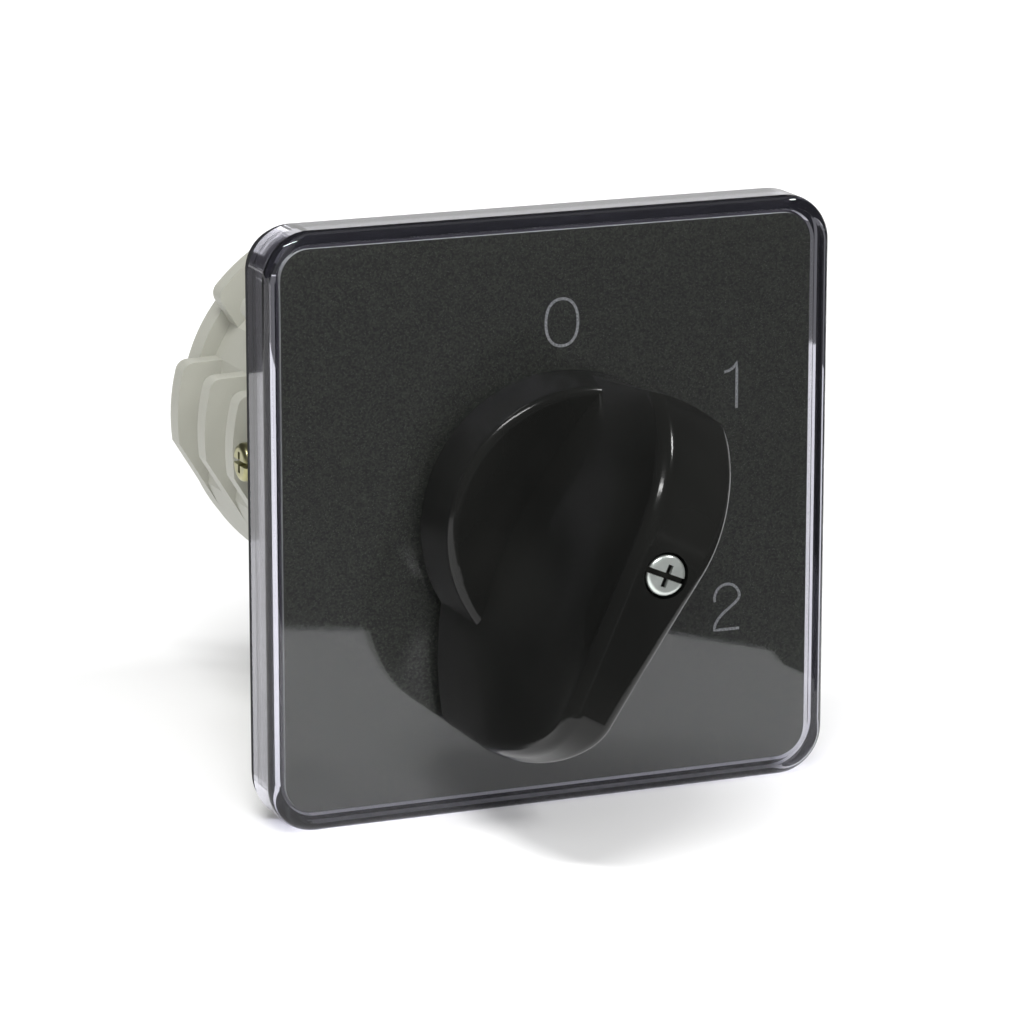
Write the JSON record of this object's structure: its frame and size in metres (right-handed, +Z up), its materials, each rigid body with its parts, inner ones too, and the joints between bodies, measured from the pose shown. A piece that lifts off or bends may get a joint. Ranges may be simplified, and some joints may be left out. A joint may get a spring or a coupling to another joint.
{
  "type": "rotary cam switch",
  "caption": "Panel-mounted rotary cam switch: black grip knob on a square dark plate under a clear cover, with a stacked body of cam stages and side terminals behind.",
  "frame": {"origin": "switch axis at the panel plane, the rear face of the gasket", "axes": "+X to the right and +Z up as seen from the front, +Y into the panel along the switch axis"},
  "size_m": [0.065, 0.0937, 0.065],
  "materials": {
    "clear_plastic": "clear moulded plastic, glossy",
    "legend_grain": "dark printed plate with a fine metallic grain",
    "frame_black": "moulded, satin black",
    "gasket_rubber": "soft black rubber",
    "knob_black": "polished black moulding",
    "zinc_steel": "bright zinc plate",
    "bright_steel": "ground steel",
    "spring_steel": "drawn spring wire",
    "natural_nylon": "uncoloured nylon",
    "cam_nylon": "red-brown nylon",
    "body_ivory": "light warm grey moulding, satin",
    "contact_copper": "copper alloy with silver buttons",
    "olive_zinc": "yellow-green passivated zinc"
  },
  "bodies": {
    "switch_body": {"clear_cover": "clear_plastic", "contact_bridge_1_left": "contact_copper", "contact_bridge_1_right": "contact_copper", "contact_bridge_2_left": "contact_copper", "contact_bridge_2_right": "contact_copper", "contact_bridge_3_right": "contact_copper", "contact_bridge_4_right": "contact_copper", "contact_spring_1_left": "spring_steel", "contact_spring_1_right": "spring_steel", "contact_spring_2_left": "spring_steel", "contact_spring_2_right": "spring_steel", "contact_spring_3_right": "spring_steel", "contact_spring_4_right": "spring_steel", "detent_rollers": "bright_steel", "detent_sliders": "natural_nylon", "detent_springs": "spring_steel", "fixed_contacts_1_left": "contact_copper", "fixed_contacts_1_right": "contact_copper", "fixed_contacts_2_left": "contact_copper", "fixed_contacts_2_right": "contact_copper", "fixed_contacts_3_right": "contact_copper", "fixed_contacts_4_right": "contact_copper", "front_frame": "frame_black", "latch_cover": "body_ivory", "latch_housing": "body_ivory", "legend_plate": "legend_grain", "panel_gasket": "gasket_rubber", "plunger_1_left": "natural_nylon", "plunger_1_right": "natural_nylon", "plunger_2_left": "natural_nylon", "plunger_2_right": "natural_nylon", "plunger_3_right": "natural_nylon", "plunger_4_right": "natural_nylon", "rear_cover": "body_ivory", "saddle_clamps": "olive_zinc", "shaft_seal": "gasket_rubber", "stage_housing_1": "body_ivory", "stage_housing_2": "body_ivory", "stage_housing_3": "body_ivory", "stage_housing_4": "body_ivory", "terminal_screws": "olive_zinc", "tie_bolts": "zinc_steel", "tie_nuts": "zinc_steel"},
    "rotor": {"cam_1": "cam_nylon", "cam_2": "cam_nylon", "cam_3": "cam_nylon", "cam_4": "cam_nylon", "detent_wheel": "natural_nylon", "knob": "knob_black", "knob_screw": "zinc_steel", "spindle": "bright_steel"}
  },
  "joints": [
    {"name": "knob_turn", "type": "hinge", "parent": "switch_body", "child": "rotor", "pos_m": [0, 0, 0], "axis": [0, 1, 0], "range_deg": [-29, 91]}
  ]
}
